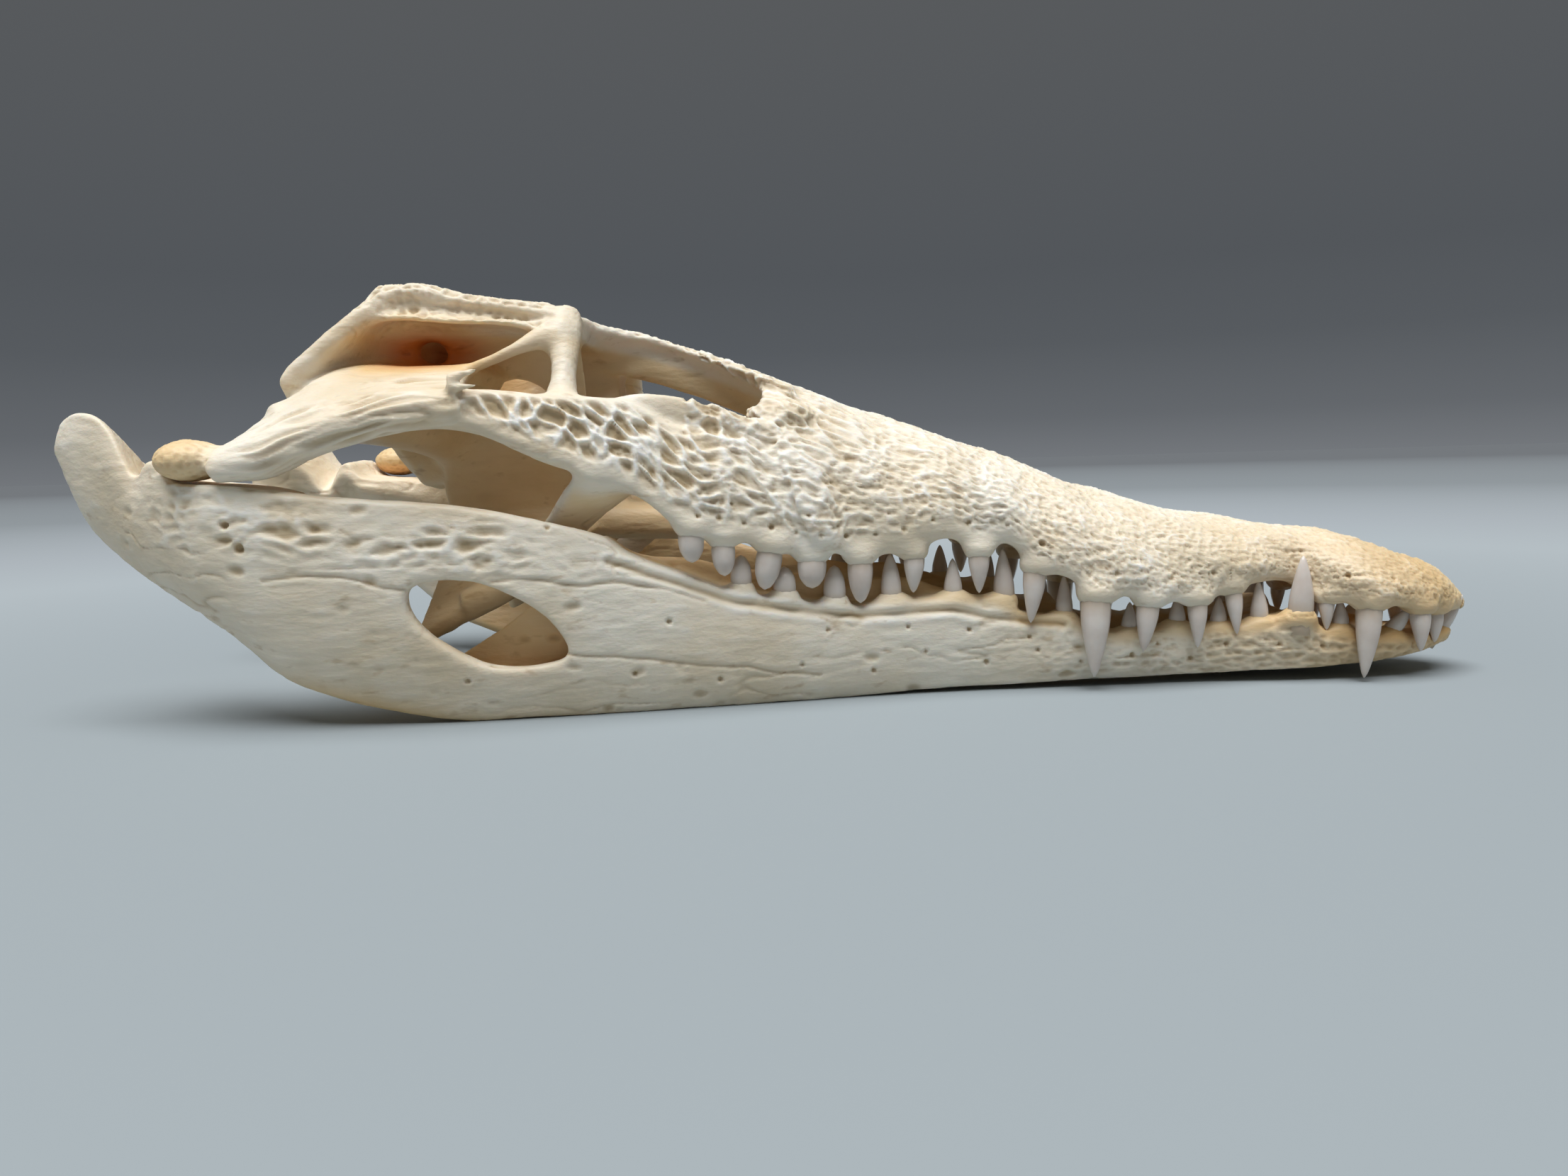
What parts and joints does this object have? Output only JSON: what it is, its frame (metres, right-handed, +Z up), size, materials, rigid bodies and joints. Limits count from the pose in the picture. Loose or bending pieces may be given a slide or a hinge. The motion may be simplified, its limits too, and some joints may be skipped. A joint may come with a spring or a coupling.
{
  "type": "crocodile skull",
  "caption": "Life-size dry skull of a young crocodile, cranium and lower jaw closed, lying on its lower jaw, with conical teeth along both jaws.",
  "frame": {"origin": "centre of the bounding box in plan, on the surface that the skull lies on", "axes": "+X along the snout towards its tip, +Y to the animal's left, +Z up"},
  "size_m": [0.3228, 0.1252, 0.0957],
  "materials": {
    "bone": "dry bleached bone, satin",
    "snout_bone": "dry bone, pitted, slightly yellow, satin"
  },
  "bodies": {
    "root": {"snout": "snout_bone", "snout_front": "snout_bone", "braincase": "bone", "palate": "bone", "cheek_right": "bone", "cheek_left": "bone", "jaw_right": "bone", "jaw_left": "bone"}
  },
  "joints": []
}
